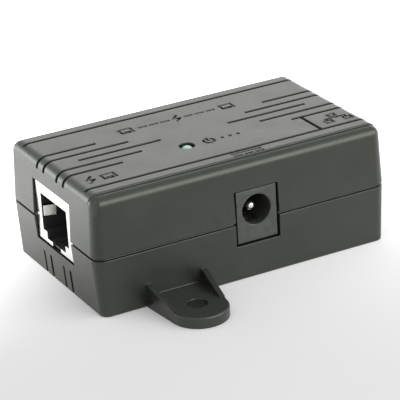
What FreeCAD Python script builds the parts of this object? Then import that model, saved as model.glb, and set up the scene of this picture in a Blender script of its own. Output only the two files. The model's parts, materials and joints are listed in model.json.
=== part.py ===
import FreeCAD, Part

import math
import os

# Passive power-over-Ethernet injector: a two-shell plastic box with a shielded modular
# port in each end, a barrel power socket in the front and a screw ear at two corners.
# Millimetres, +Z up. The origin is under the middle of the box, on the surface it stands
# on. X runs along the box, from the powered port to the network port, and the barrel
# socket faces -Y.

V = FreeCAD.Vector
ORIGIN = V(0, 0, 0)
UP = V(0, 0, 1)

# Case
LENGTH = 66.0
DEPTH = 40.0
HEIGHT = 25.2
PARTING_Z = 12.5
CORNER_R = 2.6
WALL = 2.0
FACE_WALL = 4.0
TOP_LEAN = 0.6
BASE_LEAN_X = 0.85
BASE_LEAN_Y = 0.2
BASE_EDGE_R = 0.35
END_EDGE_R = 2.2
SIDE_EDGE_R = 1.9
LEDGE_DROP = 0.4
PLATE_HALF_DEPTH = 17.3
PLATE_EDGE_R = 0.3
REVEAL_HEIGHT = 0.55
REVEAL_DEPTH = 0.7
LIP_HEIGHT = 0.9
LIP_THICKNESS = 0.95
LIP_CLEARANCE = 0.1

# Lines moulded into the case
GROOVE_WIDTH = 0.8
GROOVE_DEPTH = 0.6
LONG_GROOVE_Y = 14.4
LONG_GROOVE_HALF = 31.6
VENT_PITCH = 3.05
VENT_INNER_X = {2: 19.3, 1: 13.5, 0: 7.7, -1: 13.5, -2: 19.3}
MIDDLE_VENT_OUTER_X = 26.0
VENT_LOW_Z = 22.7
BASE_VENT_TOP_Z = 5.1
LABEL_LINE_X = 21.4
MARK_DEPTH = 0.3
MARK_STROKE = 0.6
HEADING_Y = 8.6
HEADING_PORTS_X = (-11.2, 12.2)
HEADING_BOLT_X = 0.5
HEADING_DASHES_X = (-8.2, -5.6, -3.0, 2.4, 5.0, 7.6)
POWER_ROW_Y = -6.3
POWER_DOTS_X = (3.0, 4.8, 6.6)

# Screw ears
EAR_X = 16.0
EAR_Y = 29.2
EAR_R = 5.8
EAR_BASE_HALF = 6.7
EAR_FLOOR = 2.3
EAR_RIB_Z = 4.9
EAR_RIB_WIDTH = 1.1
EAR_RIB_END_Y = 29.0
EAR_HOLE_Y = 28.2
EAR_HOLE_R = 2.0

# Circuit board
BOARD_TOP = 7.5
BOARD_THICKNESS = 1.6
BOARD_BOTTOM = BOARD_TOP - BOARD_THICKNESS
BOARD_HALF_X = 30.0
BOARD_HALF_Y = 17.0
LEAD_END_Z = BOARD_BOTTOM - 1.1

# Screws that hold the shells together through the board
SCREW_X = 27.3
SCREW_Y = 13.6
BOSS_R = 3.1
SCREW_R = 1.3
SCREW_HEAD_R = 2.3
SCREW_HEAD_Z = 1.0
SCREW_HEAD_HEIGHT = 1.7
SCREW_TOP_Z = 14.0
SCREW_CLEARANCE = 0.2
CROSS_ARM = 1.5
CROSS_HALF_WIDTH = 0.3

# Shielded modular ports; "back" distances run inwards from the port's face
PORT_FACE_X = 32.3
PORT_HALF_WIDTH = 8.2
PORT_TOP = 20.1
PORT_LENGTH = 20.6
PORT_GAP = 0.35
SHEET = 0.3
PLUG_HALF_WIDTH = 6.05
PLUG_TOP = 17.8
PLUG_FLOOR = 9.8
KEY_HALF_WIDTH = 4.3
KEY_FLOOR = 8.3
LATCH_HALF_WIDTH = 1.9
PLUG_DEPTH = 14.0
CONTACT_COUNT = 8
CONTACT_PITCH = 1.02
CONTACT_WIDTH = 0.46
CONTACT_THICKNESS = 0.32
BEND_BACK = 2.2
BEND_Z = 17.45
SPRING_REACH = 9.4
SPRING_SLOPE = 19.0
FINGER_BACK = 0.5
FINGER_REACH = 2.4
FINGER_LEAN = 16.0
FINGER_LOW = 12.7
FINGER_HIGH = 14.9
TAB_BACK = 9.0
TAB_WIDTH = 2.0
LEG_ROW_BACK = 16.6
LEG_ROW_PITCH = 2.54

# Barrel power socket
JACK_X = 2.75
JACK_FACE_Y = -19.65
JACK_WIDTH = 9.0
JACK_FEET = 0.25
JACK_BASE_Z = BOARD_TOP + JACK_FEET
JACK_HEIGHT = 11.0
JACK_LENGTH = 14.2
JACK_FLANGE = 3.6
JACK_AXIS_Z = JACK_BASE_Z + 6.5
JACK_GAP = 0.45
JACK_TOP_GAP = 0.15
BORE_R = 3.2
BORE_DEPTH = 9.6
PIN_R = 1.0
PIN_SETBACK = 1.8
LEAF_WIDTH = 2.4
LEAF_THICKNESS = 0.3
LEAF_PIVOT_Y = -8.2
LEAF_PIVOT_Z = JACK_BASE_Z + 1.9
JACK_TAB = 0.3

# Indicator lamp
LED_X = -4.9
LED_Y = -6.0
LED_R = 1.5
LED_HOLE_R = 1.65
LED_TOP = HEIGHT - 0.05
LED_BASE = LED_TOP - 5.3
LED_LEADS_X = (LED_X - 1.27, LED_X + 1.27)

# Board components: centre and half spacing of the leads
CAPACITOR = (5.6, 8.2, 1.75)
CAN_R = 3.9
CAN_HEIGHT = 11.2
SLEEVE = 0.2
FUSE = (-5.4, 12.6, 2.55)
FUSE_R = 3.6
FUSE_HALF_THICKNESS = 1.5
DIODE = (-4.5, 1.6, 5.08)
DIODE_R = 1.35
DIODE_HALF_LENGTH = 2.6
RESISTOR = (-4.5, 6.4, 5.08)
RESISTOR_R = 0.95
RESISTOR_CAP_R = 1.15
RESISTOR_HALF_LENGTH = 3.1
THIN_WIRE_R = 0.3
THICK_WIRE_R = 0.38


def box(x0, x1, y0, y1, z0, z1):
    return Part.makeBox(x1 - x0, y1 - y0, z1 - z0, V(x0, y0, z0))


def prism(points, direction):
    """Straight extrusion of a closed polygon."""
    return Part.Face(Part.makePolygon(points + [points[0]])).extrude(direction)


def outline_prism(edges, direction):
    """Straight extrusion of a closed outline of lines and arcs."""
    return Part.Face(Part.Wire(edges)).extrude(direction)


def line(start, end):
    return Part.LineSegment(start, end).toShape()


def arc(start, middle, end):
    return Part.Arc(start, middle, end).toShape()


def rod(radius, start, end):
    """Round bar between two points."""
    return Part.makeCylinder(radius, (end - start).Length, start, end - start)


def join(shapes):
    return shapes[0].multiFuse(shapes[1:]).removeSplitter()


def half_turn(shape):
    """The same shape turned half round about the vertical axis."""
    turned = shape.copy()
    turned.rotate(ORIGIN, UP, 180)
    return turned


def rounded_rectangle(half_x, half_y, radius, z):
    """Closed wire, centred on the Z axis, with four round corners."""
    quarters = []
    for number, (side_x, side_y) in enumerate(((1, 1), (-1, 1), (-1, -1), (1, -1))):
        centre = V(side_x * (half_x - radius), side_y * (half_y - radius), z)
        points = []
        for turn in (0, 45, 90):
            angle = math.radians(90 * number + turn)
            points.append(centre + V(math.cos(angle), math.sin(angle), 0) * radius)
        quarters.append(points)
    edges = []
    for number, points in enumerate(quarters):
        edges.append(arc(*points))
        edges.append(line(points[2], quarters[(number + 1) % 4][0]))
    return Part.Wire(edges)


def lean(z, base_lean=BASE_LEAN_X):
    """How far a wall leans in from the widest line, at the parting, by the height z."""
    if z > PARTING_Z:
        return TOP_LEAN * (z - PARTING_Z) / (HEIGHT - PARTING_Z)
    return base_lean * (PARTING_Z - z) / PARTING_Z


def case_block(z0, z1, inset=0.0):
    """Solid between two heights that follows the leaning walls, inset from them."""
    wires = []
    for z in (z0, z1):
        half_x = LENGTH / 2 - lean(z) - inset
        half_y = DEPTH / 2 - lean(z, BASE_LEAN_Y) - inset
        radius = max(CORNER_R - lean(z) - inset, 0.6)
        wires.append(rounded_rectangle(half_x, half_y, radius, z))
    return Part.makeLoft(wires, True, True)


def ring(z0, z1, outer_inset, inner_inset):
    return case_block(z0, z1, outer_inset).cut(case_block(z0 - 1, z1 + 1, inner_inset))


def end_edge_x():
    """Where the rounded top edge of an end starts on the end wall."""
    return LENGTH / 2 - lean(HEIGHT - END_EDGE_R) + 0.01


def end_profile(shrink, low_z):
    """Outline in the XZ plane of the top and its two rounded ends, shrunk by a depth."""
    radius = END_EDGE_R - shrink
    top = HEIGHT - shrink
    wall = end_edge_x() - shrink
    start_z = HEIGHT - END_EDGE_R
    middle = radius * math.sin(math.radians(45))
    edges = []
    for side in (1, -1):
        centre_x = side * (wall - radius)
        tangent = V(side * wall, 0, start_z)
        crown = V(centre_x, 0, top)
        edges.append(line(V(side * LENGTH, 0, low_z), V(side * LENGTH, 0, start_z)))
        edges.append(line(V(side * LENGTH, 0, start_z), tangent))
        edges.append(arc(tangent, V(centre_x + side * middle, 0, start_z + middle), crown))
    edges.append(line(V(wall - radius, 0, top), V(radius - wall, 0, top)))
    edges.append(line(V(-LENGTH, 0, low_z), V(LENGTH, 0, low_z)))
    return Part.sortEdges(edges)[0]


def raised_plate():
    """Top plate that stands proud between the ledges and rolls over into the end walls."""
    low_z = PARTING_Z + 1
    section = Part.Face(Part.Wire(end_profile(0, low_z)))
    section.translate(V(0, -PLATE_HALF_DEPTH, 0))
    slab = section.extrude(V(0, 2 * PLATE_HALF_DEPTH, 0))
    long_edges = [edge for edge in slab.Edges
                  if edge.BoundBox.ZMin > HEIGHT - 0.01 and edge.BoundBox.XLength > 1]
    slab = slab.makeFillet(PLATE_EDGE_R, long_edges)
    return case_block(low_z, HEIGHT + 1).common(slab)


def upper_outer():
    """Outside of the upper half: leaning walls, rounded ledges and the raised plate."""
    ledge_z = HEIGHT - LEDGE_DROP
    walls = case_block(PARTING_Z, ledge_z)
    crown = [edge for edge in walls.Edges if edge.BoundBox.ZMin > ledge_z - 0.01]
    return join([walls.makeFillet(SIDE_EDGE_R, crown), raised_plate()])


def vent_grooves():
    """Five lines in each end of the top; four of them run over the edge and down."""
    half = GROOVE_WIDTH / 2
    skin = Part.Face(Part.Wire(end_profile(GROOVE_DEPTH, 0)))
    cutters = []
    for row, inner_x in VENT_INNER_X.items():
        y = row * VENT_PITCH
        outer_x = LENGTH if row else MIDDLE_VENT_OUTER_X
        low_z = VENT_LOW_Z if row else HEIGHT - 1
        slab = box(inner_x, outer_x, y - half, y + half, low_z, HEIGHT + 1)
        core = skin.copy()
        core.translate(V(0, y - GROOVE_WIDTH, 0))
        cutter = slab.cut(core.extrude(V(0, 2 * GROOVE_WIDTH, 0)))
        cutters.append(cutter)
        cutters.append(half_turn(cutter))
    return cutters


def top_lines():
    """The two long lines of the top and the short one beside the network port's mark."""
    half = GROOVE_WIDTH / 2
    low_z = HEIGHT - GROOVE_DEPTH
    cutters = []
    for y in (-LONG_GROOVE_Y, LONG_GROOVE_Y):
        reach = LONG_GROOVE_HALF
        cutters.append(box(-reach, reach, y - half, y + half, low_z, HEIGHT + 1))
    label_end_y = -2 * VENT_PITCH
    x = LABEL_LINE_X
    cutters.append(box(x - half, x + half, -LONG_GROOVE_Y, label_end_y, low_z, HEIGHT + 1))
    return cutters


def stroke(x0, y0, x1, y1):
    """Cutter for one straight engraved stroke between two points of the top."""
    start = V(x0, y0, HEIGHT - MARK_DEPTH)
    along = V(x1 - x0, y1 - y0, 0)
    unit = along / along.Length
    side = V(-unit.y, unit.x, 0) * (MARK_STROKE / 2)
    tip = unit * (MARK_STROKE / 2)
    corners = [start - tip + side, start - tip - side,
               start + along + tip - side, start + along + tip + side]
    return prism(corners, V(0, 0, 1 + MARK_DEPTH))


def engraved_path(points):
    return [stroke(*a, *b) for a, b in zip(points, points[1:])]


def engraved_box(x, y, half_x, half_y):
    corners = [(x - half_x, y - half_y), (x + half_x, y - half_y),
               (x + half_x, y + half_y), (x - half_x, y + half_y)]
    return engraved_path(corners + corners[:1])


def engraved_ring(x, y, radius):
    outer = Part.makeCylinder(radius + MARK_STROKE / 2, 2, V(x, y, HEIGHT - MARK_DEPTH))
    inner = Part.makeCylinder(radius - MARK_STROKE / 2, 2, V(x, y, HEIGHT - MARK_DEPTH))
    return outer.cut(inner)


def bolt_mark(x, y):
    """A lightning bolt: the line is powered."""
    zigzag = [(x + 0.5, y + 1.5), (x - 0.7, y + 0.1), (x + 0.7, y - 0.1), (x - 0.5, y - 1.5)]
    return engraved_path(zigzag)


def port_mark(x, y):
    """A modular port seen from the front: a box with a step below."""
    return engraved_box(x, y, 1.3, 1.0) + engraved_path([(x - 0.5, y - 0.5), (x + 0.5, y - 0.5)])


def heading_marks():
    """Port, dashes, bolt, dashes, port: power is added between the two ports."""
    y = HEADING_Y
    marks = bolt_mark(HEADING_BOLT_X, y)
    for x in HEADING_PORTS_X:
        marks += port_mark(x, y)
    for x in HEADING_DASHES_X:
        marks += engraved_path([(x, y), (x + 1.5, y)])
    return marks


def power_marks():
    """A ring broken by a bar beside the lamp, and three dots after it."""
    y = POWER_ROW_Y
    gap = box(-0.65, 0.65, y + 0.4, y + 2, HEIGHT - 1, HEIGHT + 1)
    marks = [engraved_ring(0, y, 1.1).cut(gap)] + engraved_path([(0, y + 0.2), (0, y + 1.4)])
    for x in POWER_DOTS_X:
        marks.append(Part.makeCylinder(0.4, 2, V(x, y, HEIGHT - MARK_DEPTH)))
    return marks


def powered_port_marks():
    y = -10.6
    return bolt_mark(-28.4, y) + port_mark(-24.6, y)


def network_port_marks():
    """Three boxes joined by lines: a network."""
    x = 27.0
    y = -10.2
    marks = engraved_box(x, y + 1.3, 0.8, 0.6)
    for side in (-1, 1):
        marks += engraved_box(x + 2.2 * side, y - 1.5, 0.8, 0.6)
        marks += engraved_path([(x + 2.2 * side, y - 0.9), (x + 2.2 * side, y - 0.1)])
    marks += engraved_path([(x - 2.2, y - 0.1), (x + 2.2, y - 0.1)])
    marks += engraved_path([(x, y - 0.1), (x, y + 0.7)])
    return marks


def direct_current_marks():
    """A line over three dashes, on the strip in front of the long line."""
    marks = engraved_path([(0.2, -15.5), (6.4, -15.5)])
    for x in (0.2, 2.6, 5.0):
        marks += engraved_path([(x, -16.7), (x + 1.4, -16.7)])
    return marks


def port_window():
    """Hole through both end walls around the ports' shields."""
    half = PORT_HALF_WIDTH + PORT_GAP
    low_z = BOARD_TOP - PORT_GAP
    high_z = PORT_TOP + PORT_GAP / 2
    inner_x = LENGTH / 2 - FACE_WALL
    return [box(-LENGTH, -inner_x, -half, half, low_z, high_z),
            box(inner_x, LENGTH, -half, half, low_z, high_z)]


def jack_window():
    """Hole through the front wall around the barrel socket."""
    half = JACK_WIDTH / 2 + JACK_GAP
    low_z = JACK_BASE_Z - JACK_GAP
    high_z = JACK_BASE_Z + JACK_HEIGHT + JACK_TOP_GAP
    inner_y = -DEPTH / 2 + FACE_WALL
    return [box(JACK_X - half, JACK_X + half, -DEPTH, inner_y, low_z, high_z)]


def screw_places():
    return [V(x, y, 0) for x in (-SCREW_X, SCREW_X) for y in (-SCREW_Y, SCREW_Y)]


def upper_shell():
    ceiling = HEIGHT - WALL
    shell = upper_outer().cut(case_block(PARTING_Z - 1, ceiling, WALL))
    bosses = [Part.makeCylinder(BOSS_R, HEIGHT - 1 - BOARD_TOP, place + V(0, 0, BOARD_TOP))
              for place in screw_places()]
    shell = join([shell] + bosses)
    rebate = ring(PARTING_Z - 1, PARTING_Z + LIP_HEIGHT + LIP_CLEARANCE,
                  WALL - LIP_THICKNESS - LIP_CLEARANCE, WALL + 0.05)
    cutters = [rebate]
    for place in screw_places():
        cutters.append(Part.makeCylinder(SCREW_R, SCREW_TOP_Z + 1, place))
    cutters.append(Part.makeCylinder(LED_HOLE_R, 2 * WALL, V(LED_X, LED_Y, ceiling - 1)))
    cutters += port_window() + jack_window() + vent_grooves() + top_lines()
    cutters += heading_marks() + power_marks() + powered_port_marks()
    cutters += network_port_marks() + direct_current_marks()
    return shell.cut(cutters)


def ear_outline(shrink, height):
    """Prism of the ear at the left front: sides that close in a little to a round end."""
    centre = V(-EAR_X, -EAR_Y, 0)
    reach = EAR_Y - DEPTH / 2
    corner = math.hypot(EAR_BASE_HALF, reach)
    slope = math.atan2(reach, EAR_BASE_HALF) - math.acos(EAR_R / corner)
    radius = EAR_R - shrink
    base_y = reach + WALL / 2
    base_half = (radius - math.sin(slope) * base_y) / math.cos(slope)
    touch = V(radius * math.cos(slope), radius * math.sin(slope), 0)
    left_touch = V(-touch.x, touch.y, 0)
    right_base = V(base_half, base_y, 0)
    left_base = V(-base_half, base_y, 0)
    edges = [line(centre + right_base, centre + touch),
             arc(centre + touch, centre + V(0, -radius, 0), centre + left_touch),
             line(centre + left_touch, centre + left_base),
             line(centre + left_base, centre + right_base)]
    return outline_prism(edges, V(0, 0, height))


def ear():
    """Left front ear: a flat floor with a round end, and two ribs that climb to the wall."""
    wall_y = -(DEPTH / 2 - WALL / 2)
    tip_y = -(EAR_Y + EAR_R + 1)
    heights = [V(-LENGTH, wall_y, 0), V(-LENGTH, wall_y, EAR_RIB_Z + 0.3),
               V(-LENGTH, -DEPTH / 2, EAR_RIB_Z), V(-LENGTH, -EAR_RIB_END_Y, EAR_FLOOR),
               V(-LENGTH, tip_y, EAR_FLOOR), V(-LENGTH, tip_y, 0)]
    shape = ear_outline(0, 2 * EAR_RIB_Z).common(prism(heights, V(2 * LENGTH, 0, 0)))
    between_ribs = ear_outline(EAR_RIB_WIDTH, 2 * EAR_RIB_Z)
    between_ribs.translate(V(0, 0, EAR_FLOOR))
    hole = Part.makeCylinder(EAR_HOLE_R, 2 * EAR_RIB_Z, V(-EAR_X, -EAR_HOLE_Y, -1))
    return shape.cut([between_ribs, hole])


def base_vents():
    """Four short upright lines at the foot of each end wall."""
    half = GROOVE_WIDTH / 2
    cutters = []
    for row in (-2, -1, 1, 2):
        y = row * VENT_PITCH - half
        low_x = LENGTH / 2 - lean(0) - GROOVE_DEPTH
        high_x = LENGTH / 2 - lean(BASE_VENT_TOP_Z) - GROOVE_DEPTH
        outline = [V(low_x, y, -0.01), V(high_x, y, BASE_VENT_TOP_Z),
                   V(LENGTH, y, BASE_VENT_TOP_Z), V(LENGTH, y, -0.01)]
        cutter = prism(outline, V(0, GROOVE_WIDTH, 0))
        cutters.append(cutter)
        cutters.append(half_turn(cutter))
    return cutters


def rounded_base():
    """Outside of the lower half with its foot edges rounded."""
    block = case_block(0, PARTING_Z - REVEAL_HEIGHT)
    foot = [edge for edge in block.Edges if edge.BoundBox.ZMax < 0.01]
    return block.makeFillet(BASE_EDGE_R, foot)


def lower_shell():
    rim_z = PARTING_Z - REVEAL_HEIGHT
    body = rounded_base()
    reveal = case_block(rim_z - 0.5, PARTING_Z, REVEAL_DEPTH)
    lip_outer = WALL - LIP_THICKNESS
    lip = case_block(PARTING_Z - 0.5, PARTING_Z + LIP_HEIGHT, lip_outer)
    body = join([body, reveal, lip])
    body = body.cut(case_block(WALL, PARTING_Z + LIP_HEIGHT + 1, WALL))
    bosses = [Part.makeCylinder(BOSS_R, BOARD_BOTTOM - 1, place + V(0, 0, 1))
              for place in screw_places()]
    body = join([body] + bosses)
    cutters = port_window() + jack_window() + base_vents()
    for place in screw_places():
        cutters.append(Part.makeCylinder(SCREW_R + SCREW_CLEARANCE, BOARD_TOP, place - UP))
        head_room = SCREW_HEAD_Z + SCREW_HEAD_HEIGHT
        cutters.append(Part.makeCylinder(SCREW_HEAD_R + 0.3, head_room + 1, place - UP))
    body = body.cut(cutters)
    front_ear = ear().cut(case_block(0, PARTING_Z, WALL / 2))
    return join([body, front_ear, half_turn(front_ear)])


def screw(place):
    """Pan-head screw driven from below, with a cross recess."""
    head = Part.makeCylinder(SCREW_HEAD_R, SCREW_HEAD_HEIGHT, place + V(0, 0, SCREW_HEAD_Z))
    shank_z = SCREW_HEAD_Z + SCREW_HEAD_HEIGHT
    shank = Part.makeCylinder(SCREW_R - 0.02, SCREW_TOP_Z - shank_z, place + V(0, 0, shank_z))
    tip = Part.makeCone(SCREW_R - 0.02, 0.3, 0.9, place + V(0, 0, SCREW_TOP_Z))
    body = join([head, shank, tip])
    arm = CROSS_ARM
    half = CROSS_HALF_WIDTH
    x, y = place.x, place.y
    low_z = SCREW_HEAD_Z - 1
    high_z = SCREW_HEAD_Z + 1
    cross = [box(x - arm, x + arm, y - half, y + half, low_z, high_z),
             box(x - half, x + half, y - arm, y + arm, low_z, high_z)]
    return body.cut(cross)


def back_x(distance):
    """X of a place behind the face of the port in the -X end."""
    return -PORT_FACE_X + distance


def arch(half_width, low_z, high_z, radius, x0, x1):
    """Prism along X with round upper corners."""
    middle = radius * (1 - math.sin(math.radians(45)))
    feet = []
    shoulders = []
    crowns = []
    edges = []
    for side in (1, -1):
        feet.append(V(x0, side * half_width, low_z))
        shoulders.append(V(x0, side * half_width, high_z - radius))
        crowns.append(V(x0, side * (half_width - radius), high_z))
        bend = V(x0, side * (half_width - middle), high_z - middle)
        edges.append(line(feet[-1], shoulders[-1]))
        edges.append(arc(shoulders[-1], bend, crowns[-1]))
    edges.append(line(*crowns))
    edges.append(line(*feet))
    return outline_prism(Part.sortEdges(edges)[0], V(x1 - x0, 0, 0))


def plug_space(back0, back1, floor_z):
    """Room for the plug: the main opening, the keyed step and the latch slot below it."""
    x0, x1 = back_x(back0), back_x(back1)
    parts = [box(x0, x1, -PLUG_HALF_WIDTH, PLUG_HALF_WIDTH, PLUG_FLOOR, PLUG_TOP),
             box(x0, x1, -KEY_HALF_WIDTH, KEY_HALF_WIDTH, KEY_FLOOR, PLUG_FLOOR + 1),
             box(x0, x1, -LATCH_HALF_WIDTH, LATCH_HALF_WIDTH, floor_z, KEY_FLOOR + 1)]
    return join(parts)


def shield_tab(side, grow=0.0):
    """Tab of the shield's side wall that is soldered into the board."""
    outer = PORT_HALF_WIDTH + grow
    inner = PORT_HALF_WIDTH - SHEET - grow
    y0, y1 = sorted((side * inner, side * outer))
    return box(back_x(TAB_BACK) - grow, back_x(TAB_BACK + TAB_WIDTH) + grow, y0, y1,
               LEAD_END_Z - grow, BOARD_TOP + 1)


def port_shield():
    """Folded sheet over the top, sides, back and front, with the plug opening."""
    shell = arch(PORT_HALF_WIDTH, BOARD_TOP, PORT_TOP, 0.7, back_x(0), back_x(PORT_LENGTH))
    inside = arch(PORT_HALF_WIDTH - SHEET, BOARD_TOP - 1, PORT_TOP - SHEET, 0.4,
                  back_x(SHEET), back_x(PORT_LENGTH - SHEET))
    shell = shell.cut([inside, plug_space(-1, 1, BOARD_TOP - 1)])
    return join([shell, shield_tab(1), shield_tab(-1)])


def contact_places():
    middle = (CONTACT_COUNT - 1) / 2
    return [(number - middle) * CONTACT_PITCH for number in range(CONTACT_COUNT)]


def contact_lead(number, y, grow=0.0):
    """Fixed stretch of one contact: a hook at the front, along the roof, down the back."""
    half = CONTACT_WIDTH / 2 + grow
    leg_back = leg_distance(number)
    roof_low = PLUG_TOP + 0.35
    thick = CONTACT_THICKNESS
    hook = box(back_x(BEND_BACK - 0.3) - grow, back_x(BEND_BACK - 0.3 + thick) + grow,
               y - half, y + half, BEND_Z + 0.22 - grow, roof_low + thick + grow)
    roof = box(back_x(BEND_BACK - 0.3) - grow, back_x(leg_back) + grow,
               y - half, y + half, roof_low - grow, roof_low + thick + grow)
    leg = box(back_x(leg_back - thick) - grow, back_x(leg_back) + grow,
              y - half, y + half, LEAD_END_Z - grow, roof_low + thick + grow)
    return join([hook, roof, leg])


def leg_distance(number):
    """Contacts go through the board in two rows."""
    return LEG_ROW_BACK + LEG_ROW_PITCH * (number % 2)


def port_leads():
    return Part.makeCompound([contact_lead(n, y) for n, y in enumerate(contact_places())])


def contact_spring(y):
    """Springy end of one contact: it slopes back and down from the bend at the front."""
    angle = math.radians(SPRING_SLOPE)
    along = V(math.cos(angle), 0, -math.sin(angle))
    across = V(math.sin(angle), 0, math.cos(angle)) * (CONTACT_THICKNESS / 2)
    start = V(back_x(BEND_BACK), y - CONTACT_WIDTH / 2, BEND_Z)
    end = start + along * SPRING_REACH
    strip = prism([start + across, start - across, end - across, end + across],
                  V(0, CONTACT_WIDTH, 0))
    bend = rod(CONTACT_THICKNESS / 2, start, start + V(0, CONTACT_WIDTH, 0))
    return join([strip, bend])


def contact_springs():
    return Part.makeCompound([contact_spring(y) for y in contact_places()])


def port_body():
    """Moulded insert of a port, with the plug's room and a channel for each contact."""
    block = box(back_x(SHEET + 0.1), back_x(PORT_LENGTH - SHEET - 0.1),
                -PORT_HALF_WIDTH + SHEET + 0.1, PORT_HALF_WIDTH - SHEET - 0.1,
                BOARD_TOP, PORT_TOP - SHEET - 0.1)
    upper_edges = [edge for edge in block.Edges
                   if edge.BoundBox.XLength > 1 and edge.BoundBox.ZMin > PORT_TOP - 1]
    block = block.makeFillet(0.6, upper_edges)
    cutters = [plug_space(-1, PLUG_DEPTH, BOARD_TOP + 0.4)]
    for side in (-1, 1):
        y0, y1 = sorted((side * (PLUG_HALF_WIDTH - 1), side * (PLUG_HALF_WIDTH + 0.7)))
        cutters.append(box(back_x(0), back_x(FINGER_BACK + FINGER_REACH + 0.7), y0, y1,
                           FINGER_LOW - 0.3, FINGER_HIGH + 0.3))
    for number, y in enumerate(contact_places()):
        cutters.append(contact_lead(number, y, 0.04))
    return block.cut(cutters)


def shield_finger(side):
    """Tongue of the shield folded into the plug's room from the edge of the opening."""
    angle = math.radians(FINGER_LEAN)
    along = V(math.cos(angle), -side * math.sin(angle), 0)
    across = V(math.sin(angle), side * math.cos(angle), 0) * (SHEET / 2)
    start = V(back_x(FINGER_BACK), side * (PLUG_HALF_WIDTH - SHEET / 2), FINGER_LOW)
    end = start + along * FINGER_REACH
    height = V(0, 0, FINGER_HIGH - FINGER_LOW)
    strip = prism([start + across, start - across, end - across, end + across], height)
    return join([strip, rod(SHEET / 2, start, start + height)])


def jack_flange():
    half = JACK_WIDTH / 2
    return box(JACK_X - half, JACK_X + half, JACK_FACE_Y, JACK_FACE_Y + JACK_FLANGE,
               JACK_BASE_Z, JACK_BASE_Z + JACK_HEIGHT)


def jack_body():
    """Moulded socket: a square flange at the front, an arched barrel behind it."""
    half = JACK_WIDTH / 2
    back_y = JACK_FACE_Y + JACK_LENGTH
    axis = V(JACK_X, JACK_FACE_Y, JACK_AXIS_Z)
    base = box(JACK_X - half, JACK_X + half, JACK_FACE_Y + 1, back_y, JACK_BASE_Z, JACK_AXIS_Z)
    barrel = rod(half, axis + V(0, 1, 0), axis + V(0, JACK_LENGTH, 0))
    feet = [box(JACK_X + side - 0.6, JACK_X + side + 0.6, back_y - 11, back_y - 1,
                BOARD_TOP, JACK_BASE_Z + 0.2) for side in (0.6 - half, half - 1.2)]
    shape = join([jack_flange(), base, barrel] + feet)
    bore = rod(BORE_R, axis - V(0, 1, 0), axis + V(0, BORE_DEPTH, 0))
    mouth = Part.makeCone(BORE_R + 0.15, BORE_R, 0.15, axis, V(0, 1, 0))
    rivet_hole = rod(PIN_R - 0.15, axis, axis + V(0, JACK_LENGTH + 1, 0))
    pocket = box(JACK_X - LEAF_WIDTH / 2 - 0.2, JACK_X + LEAF_WIDTH / 2 + 0.2,
                 JACK_FACE_Y + 2.2, back_y - 1.2, JACK_BASE_Z + 0.6, JACK_AXIS_Z - BORE_R + 0.6)
    tab_slot = box(JACK_X - LEAF_WIDTH / 2 - 0.05, JACK_X + LEAF_WIDTH / 2 + 0.05,
                   LEAF_PIVOT_Y - 0.2, LEAF_PIVOT_Y + 0.2, BOARD_TOP - 1, BOARD_TOP + 1)
    side_slot = box(JACK_X + half - 0.35, JACK_X + half + 1, JACK_FACE_Y + 6.6,
                    JACK_FACE_Y + 9.7, BOARD_TOP - 1, BOARD_TOP + 4.55)
    return shape.cut([bore, mouth, rivet_hole, pocket, tab_slot, side_slot])


def jack_pin():
    """Centre pin with a round nose, riveted to the tab behind the socket."""
    axis = V(JACK_X, JACK_FACE_Y, JACK_AXIS_Z)
    nose_y = PIN_SETBACK + PIN_R
    back_y = JACK_FACE_Y + JACK_LENGTH
    nose = Part.makeSphere(PIN_R, axis + V(0, nose_y, 0))
    pin = rod(PIN_R, axis + V(0, nose_y, 0), axis + V(0, BORE_DEPTH, 0))
    stem = rod(PIN_R - 0.2, axis + V(0, BORE_DEPTH, 0), axis + V(0, JACK_LENGTH + 0.6, 0))
    tab_back_y = back_y + JACK_TAB
    tab = box(JACK_X - 1.5, JACK_X + 1.5, back_y, tab_back_y, BOARD_TOP, JACK_AXIS_Z + 1.6)
    leg = box(JACK_X - 1.0, JACK_X + 1.0, back_y, tab_back_y, LEAD_END_Z, BOARD_TOP)
    return join([nose, pin, stem, tab, leg])


def jack_leaf():
    """Spring leaf under the bore: it rises to a crest and turns down towards the mouth."""
    x = JACK_X - LEAF_WIDTH / 2
    crest_z = JACK_AXIS_Z - BORE_R + 0.55
    upper = [V(x, LEAF_PIVOT_Y, LEAF_PIVOT_Z), V(x, LEAF_PIVOT_Y - 5.6, crest_z),
             V(x, LEAF_PIVOT_Y - 6.4, crest_z), V(x, LEAF_PIVOT_Y - 8.4, crest_z - 1.1)]
    lower = [point - UP * LEAF_THICKNESS for point in reversed(upper)]
    return prism(upper + lower, V(LEAF_WIDTH, 0, 0))


def jack_terminals():
    """Solder tabs of the spring leaf and of the switch at the side."""
    leaf_tab = box(JACK_X - LEAF_WIDTH / 2, JACK_X + LEAF_WIDTH / 2, LEAF_PIVOT_Y - 0.15,
                   LEAF_PIVOT_Y + 0.15, LEAD_END_Z, LEAF_PIVOT_Z - 0.45)
    side_x = JACK_X + JACK_WIDTH / 2
    side_tab = box(side_x - JACK_TAB, side_x, JACK_FACE_Y + 6.7, JACK_FACE_Y + 9.6,
                   LEAD_END_Z, BOARD_TOP + 4.5)
    return Part.makeCompound([leaf_tab, side_tab])


def led_lens():
    """Lamp with a flange at its foot and a domed top just below the case's surface."""
    place = V(LED_X, LED_Y, LED_BASE)
    flange = Part.makeCylinder(LED_R + 0.4, 1.0, place)
    barrel = Part.makeCylinder(LED_R, LED_TOP - LED_R - LED_BASE, place)
    dome = Part.makeSphere(LED_R, V(LED_X, LED_Y, LED_TOP - LED_R))
    return join([flange, barrel, dome])


def led_leads():
    half = 0.25
    leads = [box(x - half, x + half, LED_Y - half, LED_Y + half, LEAD_END_Z, LED_BASE)
             for x in LED_LEADS_X]
    return Part.makeCompound(leads)


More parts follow.
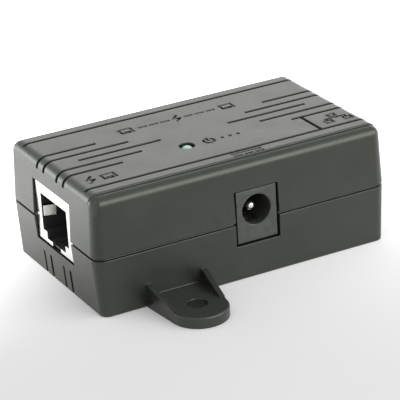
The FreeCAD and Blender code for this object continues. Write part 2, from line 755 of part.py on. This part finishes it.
def capacitor_can():
    x, y, _ = CAPACITOR
    can = Part.makeCylinder(CAN_R, CAN_HEIGHT, V(x, y, BOARD_TOP + 0.5))
    top = [edge for edge in can.Edges if edge.BoundBox.ZMin > BOARD_TOP + CAN_HEIGHT]
    return can.makeFillet(0.5, top)


def capacitor_sleeve():
    """Film shrunk on the can and turned in under its foot."""
    x, y, _ = CAPACITOR
    film = Part.makeCylinder(CAN_R + SLEEVE, CAN_HEIGHT - 0.3, V(x, y, BOARD_TOP + 0.3))
    inside = Part.makeCylinder(CAN_R, CAN_HEIGHT + 1, V(x, y, BOARD_TOP + 0.5))
    foot_hole = Part.makeCylinder(CAN_R - 0.9, 2, V(x, y, BOARD_TOP - 1))
    return film.cut([inside, foot_hole])


def capacitor_leads():
    x, y, half_pitch = CAPACITOR
    leads = [rod(THIN_WIRE_R, V(x, y + side * half_pitch, LEAD_END_Z),
                 V(x, y + side * half_pitch, BOARD_TOP + 0.5)) for side in (-1, 1)]
    return Part.makeCompound(leads)


def fuse_disc():
    x, y, _ = FUSE
    half = FUSE_HALF_THICKNESS
    z = BOARD_TOP + FUSE_R + 1
    disc = rod(FUSE_R, V(x, y - half, z), V(x, y + half, z))
    return disc.makeFillet(0.8, [edge for edge in disc.Edges if edge.BoundBox.YLength < 0.1])


def fuse_leads():
    x, y, half_pitch = FUSE
    leads = [rod(THIN_WIRE_R, V(x + side * half_pitch, y, LEAD_END_Z),
                 V(x + side * half_pitch, y, BOARD_TOP + 3)) for side in (-1, 1)]
    return Part.makeCompound(leads).cut(fuse_disc())


def diode_body():
    """Round body that lies on the board along X."""
    x, y, _ = DIODE
    z = BOARD_TOP + DIODE_R + 0.2
    half = DIODE_HALF_LENGTH
    return rod(DIODE_R, V(x - half, y, z), V(x + half, y, z))


def axial_leads(place, radius, half_length, wire_r):
    """Leads of a component that lies along X, bent down into the board."""
    x, y, half_pitch = place
    z = BOARD_TOP + radius + 0.2
    leads = []
    for side in (-1, 1):
        bend = V(x + side * half_pitch, y, z)
        leads.append(join([rod(wire_r, V(x + side * half_length, y, z), bend),
                           Part.makeSphere(wire_r, bend),
                           rod(wire_r, V(bend.x, y, LEAD_END_Z), bend)]))
    return Part.makeCompound(leads)


def resistor_body():
    """Film resistor: a slim barrel with a thicker cap at each end."""
    x, y, _ = RESISTOR
    z = BOARD_TOP + RESISTOR_CAP_R + 0.2
    half = RESISTOR_HALF_LENGTH
    barrel = rod(RESISTOR_R, V(x - half + 0.5, y, z), V(x + half - 0.5, y, z))
    caps = []
    for side in (-1, 1):
        cap = rod(RESISTOR_CAP_R, V(x + side * (half - 1.4), y, z), V(x + side * half, y, z))
        caps.append(cap.makeFillet(0.35, [edge for edge in cap.Edges
                                          if edge.BoundBox.XLength < 0.1]))
    return join([barrel] + caps)


def board_holes():
    """Drillings for screws, contact legs, shield tabs and component leads."""
    drillings = [(place.x, place.y, SCREW_R + SCREW_CLEARANCE) for place in screw_places()]
    for number, y in enumerate(contact_places()):
        x = back_x(leg_distance(number) - CONTACT_THICKNESS / 2)
        drillings += [(x, y, 0.42), (-x, -y, 0.42)]
    drillings += [(x, LED_Y, 0.45) for x in LED_LEADS_X]
    for side in (-1, 1):
        drillings.append((CAPACITOR[0], CAPACITOR[1] + side * CAPACITOR[2], 0.45))
        drillings.append((FUSE[0] + side * FUSE[2], FUSE[1], 0.45))
        drillings.append((DIODE[0] + side * DIODE[2], DIODE[1], 0.5))
        drillings.append((RESISTOR[0] + side * RESISTOR[2], RESISTOR[1], 0.45))
    low_z = BOARD_BOTTOM - 1
    return [Part.makeCylinder(radius, 4, V(x, y, low_z)) for x, y, radius in drillings]


def board_slots():
    """Slots for the tabs of the shields and of the barrel socket."""
    tabs = [shield_tab(side, 0.15) for side in (-1, 1)]
    tabs += [half_turn(tab) for tab in tabs]
    back_y = JACK_FACE_Y + JACK_LENGTH
    side_x = JACK_X + JACK_WIDTH / 2
    low_z = BOARD_BOTTOM - 1
    high_z = BOARD_TOP + 1
    tabs.append(box(JACK_X - 1.2, JACK_X + 1.2, back_y - 0.2, back_y + 0.5, low_z, high_z))
    tabs.append(box(JACK_X - 1.4, JACK_X + 1.4, LEAF_PIVOT_Y - 0.35, LEAF_PIVOT_Y + 0.35,
                    low_z, high_z))
    tabs.append(box(side_x - 0.5, side_x + 0.2, JACK_FACE_Y + 6.5, JACK_FACE_Y + 9.8,
                    low_z, high_z))
    return tabs


def circuit_board():
    outline = rounded_rectangle(BOARD_HALF_X, BOARD_HALF_Y, 1.0, BOARD_BOTTOM)
    board = Part.Face(outline).extrude(V(0, 0, BOARD_THICKNESS))
    return board.cut(board_holes() + board_slots())


def housing_screws():
    return Part.makeCompound([screw(place) for place in screw_places()])


def port_parts(prefix, place):
    """Every piece of one port, as node names and shapes moved to its end of the box."""
    pieces = {"port_shield": port_shield(), "port_body": port_body(),
              "port_leads": port_leads(), "contact_springs": contact_springs(),
              "shield_finger_left": shield_finger(1),
              "shield_finger_right": shield_finger(-1)}
    return {prefix + name: place(shape) for name, shape in pieces.items()}


def all_parts():
    parts = {"upper_shell": upper_shell(), "lower_shell": lower_shell(),
             "circuit_board": circuit_board(), "housing_screws": housing_screws()}
    parts.update(port_parts("poe_", lambda shape: shape))
    parts.update(port_parts("lan_", half_turn))
    parts.update({"dc_jack_body": jack_body(), "dc_jack_pin": jack_pin(),
                  "dc_jack_leaf": jack_leaf(), "dc_jack_terminals": jack_terminals(),
                  "led_lens": led_lens(), "led_leads": led_leads(),
                  "capacitor_can": capacitor_can(), "capacitor_sleeve": capacitor_sleeve(),
                  "capacitor_leads": capacitor_leads(),
                  "resettable_fuse": fuse_disc(), "fuse_leads": fuse_leads(),
                  "diode_body": diode_body(),
                  "diode_leads": axial_leads(DIODE, DIODE_R, DIODE_HALF_LENGTH, THICK_WIRE_R),
                  "resistor_body": resistor_body(),
                  "resistor_leads": axial_leads(RESISTOR, RESISTOR_CAP_R,
                                                RESISTOR_HALF_LENGTH, THIN_WIRE_R)})
    return parts


os.makedirs("parts", exist_ok=True)
for node, shape in all_parts().items():
    shape.exportStep("parts/" + node + ".step")
    print(node, shape.isValid(), len(shape.Solids), round(shape.Volume, 2))
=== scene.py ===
import json
import math

import bmesh
import bpy
from mathutils import Matrix, Vector
from mathutils.bvhtree import BVHTree
from mathutils.kdtree import KDTree


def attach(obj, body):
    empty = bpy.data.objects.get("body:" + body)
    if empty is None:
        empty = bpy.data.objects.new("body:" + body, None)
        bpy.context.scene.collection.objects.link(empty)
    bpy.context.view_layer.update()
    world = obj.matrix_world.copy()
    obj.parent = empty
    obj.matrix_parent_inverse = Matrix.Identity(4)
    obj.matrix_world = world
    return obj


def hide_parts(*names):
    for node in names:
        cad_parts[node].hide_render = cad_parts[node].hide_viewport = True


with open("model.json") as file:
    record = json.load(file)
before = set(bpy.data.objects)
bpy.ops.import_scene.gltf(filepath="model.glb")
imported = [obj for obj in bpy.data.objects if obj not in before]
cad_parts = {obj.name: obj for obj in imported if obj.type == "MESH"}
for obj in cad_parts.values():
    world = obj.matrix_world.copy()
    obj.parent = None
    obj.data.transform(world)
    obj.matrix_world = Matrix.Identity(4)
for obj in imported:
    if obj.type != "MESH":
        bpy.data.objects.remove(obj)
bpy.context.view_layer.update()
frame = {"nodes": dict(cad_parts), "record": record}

# Passive power-over-Ethernet injector. Metres, in the CAD model's frame: +Z up, the powered
# port at -X, the network port at +X, the barrel socket at -Y.
NODES = frame["nodes"]
BODIES = frame["record"]["behaviour"]["bodies"]
NODE_BODY = {node: body for body, nodes in BODIES.items() for node in nodes}
NODE_SLOT = {part["node"]: part["material_slot"] for part in frame["record"]["subparts"]}
MM = 0.001

# Camera: where it stands round the object, and how it is aimed. Angles in degrees
CAMERA_AZIMUTH = -26.97
CAMERA_ELEVATION = 23.19
CAMERA_ROLL = -3.57
CAMERA_DISTANCE = 446.8 * MM
CAMERA_ASIDE = 0.42 * MM
CAMERA_DROP = 1.99 * MM
CAMERA_TARGET = Vector((0, 0, 12.2 * MM))
CAMERA_LENS = 196.3
CLIP_START = 0.01
CLIP_END = 20

# Light: the even white surroundings, and panels as place, aim, size and power in watts
SURROUNDINGS = 0.9
PANELS = {
    "back_panel": ((0.58, 0.8, 0.36), (0, 0, 0.02), (1.2, 0.7), 2.5),
    "left_panel": ((-0.55, 0.6, 0.12), (0, 0, 0.01), (0.7, 0.22), 2.0),
    "front_fill": ((0.55, -0.85, 0.5), (0, 0, 0.01), (1.5, 0.7), 11.0),
}

# Floor, just under the feet. Its glows are painted light, emitted by the paper itself: each is a
# direction, where it starts and ends, and a strength
FLOOR_SIZE = 6.0
FLOOR_Z = -0.02 * MM
FLOOR_COLOUR = (0.61, 0.61, 0.61)
FLOOR_ROUGHNESS = 0.9
FLOOR_SPECULAR = 0.2
PAINTED_GLOW_TO_BACK = ((0.6, 1.0, 0.0), -0.09, 0.30, 2.4)
PAINTED_GLOW_BEHIND_LEFT = ((-0.45, 0.9, 0.0), 0.0, 0.075, 1.2)

# Nodes whose sharp edges are rounded, and the width of the round in millimetres. The shells
# still have misfits after the last try, as folded slivers
MOULDED_EDGE = 0.11
SOCKET_EDGE = 0.08
INSERT_EDGE = 0.06
SHEET_EDGE = 0.05
SCREW_EDGE = 0.12
ROUNDED = {"upper_shell": MOULDED_EDGE, "lower_shell": MOULDED_EDGE,
           "dc_jack_body": SOCKET_EDGE,
           "poe_port_shield": SHEET_EDGE, "lan_port_shield": SHEET_EDGE,
           "poe_port_body": INSERT_EDGE, "lan_port_body": INSERT_EDGE,
           "housing_screws": SCREW_EDGE}
ROUND_SEGMENTS = 2
ROUND_TRIES = 8
SHARP_ANGLE = math.radians(55)

# Where a round doesn't fit: how far it may leave the surface, as a part of its width, the
# cosine under which a face is folded over, the least face that counts, and how far round a
# misfit the edges stay sharp, in widths
FIT = 0.6
FOLDED = -0.2
SPECK = 1e-5 * MM * MM
MISFIT_REACH = 1.2

# Meshes: the gap that a seam closes, the miters' spread, and the cosines for shading
SEAM = 0.002 * MM
SPREAD = 0.02 * MM
SMOOTH = math.cos(math.radians(20))
COPLANAR = math.cos(math.radians(0.3))

# Ears: the screw hole's centre from the middle of the case, the top of the plate, a circle
# round the hole that the outer edge clears, and the round of that edge
EAR_HOLE_X = 16.0 * MM
EAR_HOLE_Y = 28.2 * MM
EAR_TOP = 2.3 * MM
EAR_REACH = 3.0 * MM
EAR_ROUND = 0.45 * MM
EAR_SEGMENTS = 4

# Finishes: colours are linear
PLASTIC_IOR = 1.58
COATING_IOR = 1.5
RESIN_IOR = 1.54
SPECULAR_TINT = (0.95, 1.0, 0.87, 1)
CASE_COLOUR = (0.0148, 0.0164, 0.0148)
JACK_COLOUR = (0.0260, 0.0285, 0.0248)
RESIN_COLOURS = ((0.52, 0.86, 0.64), (0.66, 0.94, 0.78))

# Most of the noise lies in this range
NOISE_RANGE = (0.3, 0.7)
# How pointed an outer edge is where its wear starts, and where it is full
EDGE_POINTINESS = (0.53, 0.62)


def link(obj):
    bpy.context.scene.collection.objects.link(obj)
    return obj


# ---------------------------------------------------------------- camera and light

def camera_axes():
    """Right, up and back of the camera, as unit vectors."""
    azimuth = math.radians(CAMERA_AZIMUTH)
    elevation = math.radians(CAMERA_ELEVATION)
    roll = math.radians(CAMERA_ROLL)
    back = Vector((math.sin(azimuth) * math.cos(elevation),
                   -math.cos(azimuth) * math.cos(elevation), math.sin(elevation)))
    level = Vector((0, 0, 1)).cross(back).normalized()
    upright = back.cross(level)
    right = level * math.cos(roll) + upright * math.sin(roll)
    return right, back.cross(right), back


def make_camera():
    right, up, back = camera_axes()
    camera = link(bpy.data.objects.new("camera", bpy.data.cameras.new("camera")))
    camera.data.lens = CAMERA_LENS
    camera.data.clip_start = CLIP_START
    camera.data.clip_end = CLIP_END
    place = CAMERA_TARGET + right * CAMERA_ASIDE - up * CAMERA_DROP + back * CAMERA_DISTANCE
    turn = Matrix((right, up, back)).transposed()
    camera.matrix_world = Matrix.Translation(place) @ turn.to_4x4()
    bpy.context.scene.camera = camera


def make_panel(name, place, aim, size, power):
    """A soft white panel that the camera doesn't see."""
    data = bpy.data.lights.new(name, "AREA")
    data.shape = "RECTANGLE"
    data.size, data.size_y = size
    data.energy = power
    panel = link(bpy.data.objects.new(name, data))
    panel.location = place
    panel.rotation_euler = (Vector(aim) - Vector(place)).to_track_quat("-Z", "Y").to_euler()
    panel.visible_camera = False


def make_light():
    scene = bpy.context.scene
    scene.view_settings.view_transform = "Standard"
    world = bpy.data.worlds.new("studio")
    scene.world = world
    world.use_nodes = True
    background = world.node_tree.nodes["Background"]
    background.inputs["Color"].default_value = (1, 1, 1, 1)
    background.inputs["Strength"].default_value = SURROUNDINGS
    for name, panel in PANELS.items():
        make_panel(name, *panel)


# ---------------------------------------------------------------- materials

class Material:
    """A principled material with its textures measured in millimetres of the object."""

    def __init__(self, name, colour, roughness, **sockets):
        self.material = bpy.data.materials.new(name)
        self.material.use_nodes = True
        self.nodes = self.material.node_tree.nodes
        self.links = self.material.node_tree.links
        self.nodes.clear()
        output = self.nodes.new("ShaderNodeOutputMaterial")
        self.shader = self.nodes.new("ShaderNodeBsdfPrincipled")
        self.links.new(self.shader.outputs[0], output.inputs[0])
        self.shader.inputs["Base Color"].default_value = (*colour, 1)
        self.shader.inputs["Roughness"].default_value = roughness
        for socket, value in sockets.items():
            self.shader.inputs[socket.replace("_", " ")].default_value = value
        self.normal = None

    def put(self, kind, settings=None, **inputs):
        """Adds a node and gives its first output in use.

        An input is a value or another node's output, named, or i0, i1 by its number.
        """
        node = self.nodes.new(kind)
        for name, value in (settings or {}).items():
            setattr(node, name, value)
        for name, value in inputs.items():
            socket = node.inputs[int(name[1:])] if name[0] == "i" else node.inputs[name]
            if isinstance(value, bpy.types.NodeSocket):
                self.links.new(value, socket)
            else:
                socket.default_value = value
        return next(output for output in node.outputs if output.enabled)

    def place(self, stretch=(1, 1, 1)):
        """Point of the object in millimetres, stretched along its axes."""
        coordinates = self.nodes.new("ShaderNodeTexCoord").outputs["Object"]
        scale = tuple(1 / (MM * s) for s in stretch)
        return self.put("ShaderNodeVectorMath", {"operation": "MULTIPLY"},
                        i0=coordinates, i1=scale)

    def noise(self, size, detail=2.0, stretch=(1, 1, 1)):
        """Noise between 0 and 1 whose blobs are about size millimetres across."""
        return self.put("ShaderNodeTexNoise", Vector=self.place(stretch), Scale=1 / size,
                        Detail=detail)

    def spread(self, value, low, high, to_low, to_high):
        """Maps low..high to to_low..to_high, clamped."""
        return self.put("ShaderNodeMapRange", i0=value, i1=low, i2=high, i3=to_low, i4=to_high)

    def vary(self, value, to_low, to_high):
        """Maps the range where most of a noise lies to to_low..to_high, clamped."""
        return self.spread(value, *NOISE_RANGE, to_low, to_high)

    def maths(self, operation, first, second):
        """Two numbers added, subtracted or multiplied."""
        return self.put("ShaderNodeMath", {"operation": operation}, i0=first, i1=second)

    def bump(self, height, depth):
        """Adds relief whose full height is depth millimetres."""
        node = self.nodes.new("ShaderNodeBump")
        node.inputs["Distance"].default_value = depth * MM
        self.links.new(height, node.inputs["Height"])
        if self.normal is not None:
            self.links.new(self.normal, node.inputs["Normal"])
        self.normal = node.outputs[0]
        self.links.new(self.normal, self.shader.inputs["Normal"])

    def roughness(self, value):
        self.links.new(value, self.shader.inputs["Roughness"])

    def mix(self, factor, first, second):
        """Colour between two colours, each a value or another node's output."""
        node = self.nodes.new("ShaderNodeMix")
        node.data_type = "RGBA"
        self.links.new(factor, node.inputs[0])
        for socket, value in ((node.inputs[6], first), (node.inputs[7], second)):
            if isinstance(value, bpy.types.NodeSocket):
                self.links.new(value, socket)
            else:
                socket.default_value = (*value, 1)
        return node.outputs[2]

    def colours(self, factor, first, second):
        """Base colour between two colours."""
        self.links.new(self.mix(factor, first, second), self.shader.inputs["Base Color"])

    def rubbed_edges(self, patches):
        """1 on the outer edges, where the patches leave them rubbed, and 0 elsewhere."""
        edges = self.nodes.new("ShaderNodeNewGeometry").outputs["Pointiness"]
        return self.maths("MULTIPLY", self.spread(edges, *EDGE_POINTINESS, 0, 1),
                          self.spread(patches, 0.35, 0.6, 0.25, 1.0))

    def glow(self, position, direction, start, end, strength):
        """Grows smoothly from 0 at start to strength at end, along a direction."""
        along = self.put("ShaderNodeVectorMath", {"operation": "DOT_PRODUCT"},
                         i0=position, i1=direction)
        return self.put("ShaderNodeMapRange", {"interpolation_type": "SMOOTHSTEP"},
                        i0=along, i1=start, i2=end, i3=0.0, i4=strength)


def scaled(colour, factor):
    return tuple(channel * factor for channel in colour)


def moulded_plastic(name, colour, roughness, grain, grain_depth):
    """Dark plastic with a fine spark-eroded grain, faint mottling and rubbed edges."""
    m = Material(name, colour, roughness, IOR=PLASTIC_IOR, Specular_Tint=SPECULAR_TINT)
    cloud = m.noise(6.0, 3.0)
    fine = m.noise(grain, 3.0)
    speck = m.noise(grain * 3.5, 1.0)
    wear = m.noise(1.4, 4.0)
    edges = m.rubbed_edges(wear)
    body = m.mix(m.vary(cloud, 0, 1), scaled(colour, 0.9), scaled(colour, 1.12))
    m.colours(edges, body, scaled(colour, 2.4))
    patchy = m.spread(cloud, 0.25, 0.75, roughness - 0.035, roughness + 0.035)
    handled = m.maths("SUBTRACT", m.spread(wear, 0.58, 0.75, 0.0, -0.06),
                      m.maths("MULTIPLY", edges, 0.08))
    grainy = m.spread(speck, 0, 1, -0.03, 0.03)
    m.roughness(m.maths("ADD", m.maths("ADD", patchy, handled), grainy))
    m.bump(speck, grain_depth)
    m.bump(fine, grain_depth * 0.8)
    return m.material


def plated(name, colour, roughness, stretch=(1, 1, 1), grain=0.25):
    """Plated metal with the drawing lines of the sheet or wire and faint smudges."""
    m = Material(name, colour, roughness, Metallic=1.0)
    lines = m.noise(grain, 2.0, stretch)
    smudge = m.noise(2.2, 3.0)
    body = m.mix(m.vary(smudge, 0, 1), scaled(colour, 0.9), colour)
    m.colours(m.rubbed_edges(smudge), body, scaled(colour, 1.1))
    smudged = m.vary(smudge, roughness - 0.05, roughness + 0.07)
    m.roughness(m.maths("ADD", smudged, m.spread(lines, 0, 1, -0.03, 0.03)))
    m.bump(lines, 0.002)
    return m.material


def coated(name, colour, roughness, pit=0.5, depth=0.01):
    """Glossy paint, film or epoxy with a slight orange peel."""
    m = Material(name, colour, roughness, IOR=COATING_IOR)
    peel = m.noise(pit, 2.0)
    cloud = m.noise(2.5, 2.0)
    m.colours(m.vary(cloud, 0, 1), scaled(colour, 0.88), scaled(colour, 1.08))
    m.roughness(m.vary(cloud, roughness - 0.05, roughness + 0.05))
    m.bump(peel, depth)
    return m.material


def led_resin():
    """Green clear resin, a little milky."""
    m = Material("led_resin", RESIN_COLOURS[0], 0.12, IOR=RESIN_IOR, Transmission_Weight=0.45)
    cloud = m.noise(0.8, 2.0)
    m.colours(m.vary(cloud, 0, 1), *RESIN_COLOURS)
    m.roughness(m.vary(cloud, 0.08, 0.16))
    return m.material


LOOKS = {
    "case_plastic": moulded_plastic("case_plastic", CASE_COLOUR, 0.34, 0.16, 0.012),
    "jack_plastic": moulded_plastic("jack_plastic", JACK_COLOUR, 0.38, 0.12, 0.006),
    "port_plastic": moulded_plastic("port_plastic", (0.03, 0.03, 0.031), 0.3, 0.1, 0.004),
    "board_laminate": coated("board_laminate", (0.02, 0.13, 0.055), 0.28),
    "screw_steel": plated("screw_steel", (0.5, 0.5, 0.49), 0.32),
    "shield_nickel": plated("shield_nickel", (0.8, 0.79, 0.755), 0.24, (1, 1, 8)),
    "contact_gold": plated("contact_gold", (0.83, 0.62, 0.28), 0.2),
    "jack_metal": plated("jack_metal", (0.78, 0.77, 0.75), 0.18),
    "led_resin": led_resin(),
    "tinned_wire": plated("tinned_wire", (0.62, 0.62, 0.61), 0.3),
    "can_aluminium": plated("can_aluminium", (0.8, 0.8, 0.81), 0.28),
    "sleeve_film": coated("sleeve_film", (0.02, 0.025, 0.05), 0.28),
    "fuse_coating": coated("fuse_coating", (0.72, 0.45, 0.06), 0.35, 0.7, 0.03),
    "diode_epoxy": coated("diode_epoxy", (0.015, 0.015, 0.016), 0.32),
    "resistor_enamel": coated("resistor_enamel", (0.28, 0.46, 0.55), 0.35),
}


def dress_nodes():
    """Gives each CAD node the finish of its material slot."""
    for name, node in NODES.items():
        node.data.materials.clear()
        node.data.materials.append(LOOKS[NODE_SLOT[name]])


# ---------------------------------------------------------------- rounded pieces

def merged(name):
    """The node's mesh with its seams closed, in triangles."""
    mesh = bmesh.new()
    mesh.from_mesh(NODES[name].data)
    bmesh.ops.remove_doubles(mesh, verts=mesh.verts, dist=SEAM)
    bmesh.ops.triangulate(mesh, faces=mesh.faces)
    mesh.edges.index_update()
    return mesh


def sharp_edges(mesh, skipped=()):
    """The edges to round, apart from those whose numbers are skipped."""
    return [edge for edge in mesh.edges if edge.is_manifold and edge.index not in skipped
            and edge.calc_face_angle(0) > SHARP_ANGLE]


def on_ear_rim(point):
    """Whether a point is on the top outer edge of an ear's round end."""
    from_hole = math.hypot(abs(point.x) - EAR_HOLE_X, abs(point.y) - EAR_HOLE_Y)
    past_hole = abs(point.y) > EAR_HOLE_Y
    return past_hole and from_hole > EAR_REACH and abs(point.z - EAR_TOP) < SEAM


def soften_ears(mesh):
    """Rounds the top edges of the two ears' ends, which are softer than the other edges."""
    rims = [edge for edge in sharp_edges(mesh) if all(on_ear_rim(v.co) for v in edge.verts)]
    bmesh.ops.bevel(mesh, geom=rims, offset=EAR_ROUND, segments=EAR_SEGMENTS, profile=0.5,
                    affect="EDGES", offset_type="OFFSET")
    bmesh.ops.triangulate(mesh, faces=mesh.faces)
    mesh.edges.index_update()


def misfits(mesh, surface, width):
    """Points where a rounded mesh leaves the surface that it came from, or folds over it."""
    points = [vertex.co.copy() for vertex in mesh.verts
              if surface.find_nearest(vertex.co)[3] > FIT * width]
    for face in mesh.faces:
        centre = face.calc_center_median()
        normal = surface.find_nearest(centre)[1]
        if face.normal.dot(normal) < FOLDED and face.calc_area() > SPECK:
            points.append(centre)
    return points


def edges_near(edges, points, reach):
    """Numbers of the edges that pass within reach of any of the points."""
    tree = KDTree(len(points))
    for number, point in enumerate(points):
        tree.insert(point, number)
    tree.balance()
    found = set()
    for edge in edges:
        start, end = edge.verts[0].co, edge.verts[1].co
        steps = max(1, int(edge.calc_length() / reach))
        if any(tree.find(start.lerp(end, step / steps))[2] < reach for step in range(steps + 1)):
            found.add(edge.index)
    return found


def flat_areas(mesh):
    """For each face, the whole area of the flat region that it belongs to."""
    mesh.faces.index_update()
    mesh.faces.ensure_lookup_table()
    areas = {}
    for start in mesh.faces:
        if start.index in areas:
            continue
        region, queue = {start.index}, [start]
        while queue:
            for edge in queue.pop().edges:
                for face in edge.link_faces:
                    if face.index not in region and face.normal.dot(start.normal) > COPLANAR:
                        region.add(face.index)
                        queue.append(face)
        area = sum(mesh.faces[number].calc_area() for number in region)
        areas.update(dict.fromkeys(region, area))
    return areas


def corner_normals(mesh):
    """Shading normals: smooth on curves, and flat up to the last corner of a flat face."""
    areas = flat_areas(mesh)
    normals = []
    for face in mesh.faces:
        for vertex in face.verts:
            total = Vector()
            for other in vertex.link_faces:
                if other.normal.dot(face.normal) > SMOOTH:
                    total += other.normal * areas[other.index]
            normals.append(total.normalized() if total.length else face.normal)
    return normals


def rounded_mesh(name, width):
    """The node's mesh with a narrow round on its sharp edges.

    Edges where a round doesn't fit stay sharp. The last try is kept even if misfits are left.
    """
    plain = merged(name)
    if name == "lower_shell":
        soften_ears(plain)
    surface = BVHTree.FromBMesh(plain)
    skipped = set()
    for _ in range(ROUND_TRIES):
        mesh = plain.copy()
        mesh.edges.index_update()
        bmesh.ops.bevel(mesh, geom=sharp_edges(mesh, skipped), offset=width,
                        segments=ROUND_SEGMENTS, profile=0.5, affect="EDGES",
                        offset_type="OFFSET", miter_outer="ARC", spread=SPREAD)
        points = misfits(mesh, surface, width)
        if not points:
            break
        skipped |= edges_near(sharp_edges(plain, skipped), points, MISFIT_REACH * width)
    bmesh.ops.triangulate(mesh, faces=mesh.faces)
    mesh.normal_update()
    normals = corner_normals(mesh)
    for face in mesh.faces:
        face.smooth = True
    result = bpy.data.meshes.new(name + "_rounded")
    mesh.to_mesh(result)
    result.normals_split_custom_set(normals)
    return result


def rounded(name, width):
    """A copy of a node with its edges rounded, which stands for the node."""
    piece = link(bpy.data.objects.new(name + "_rounded", rounded_mesh(name, width * MM)))
    slot = NODE_SLOT[name]
    piece.data.materials.append(LOOKS[slot])
    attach(piece, NODE_BODY[name])
    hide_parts(name)


# ---------------------------------------------------------------- floor

def make_floor():
    """Pale paper with a painted glow of light that brightens it away from the front, most of all
    behind the left end.
    """
    mesh = bpy.data.meshes.new("floor")
    half = FLOOR_SIZE / 2
    outline = ((-half, -half), (half, -half), (half, half), (-half, half))
    corners = [(x, y, FLOOR_Z) for x, y in outline]
    mesh.from_pydata(corners, [], [(0, 1, 2, 3)])
    floor = link(bpy.data.objects.new("floor", mesh))
    m = Material("floor_paper", FLOOR_COLOUR, FLOOR_ROUGHNESS, Specular_IOR_Level=FLOOR_SPECULAR,
                 Emission_Color=(1, 1, 1, 1))
    position = m.nodes.new("ShaderNodeNewGeometry").outputs["Position"]
    # Painted light: the floor emits a glow that grows towards the back and behind the left end
    painted_glows = m.maths("ADD", m.glow(position, *PAINTED_GLOW_TO_BACK), m.glow(position, *PAINTED_GLOW_BEHIND_LEFT))
    m.links.new(painted_glows, m.shader.inputs["Emission Strength"])
    mesh.materials.append(m.material)


make_camera()
dress_nodes()
for node_name, edge_width in ROUNDED.items():
    rounded(node_name, edge_width)
make_floor()
make_light()
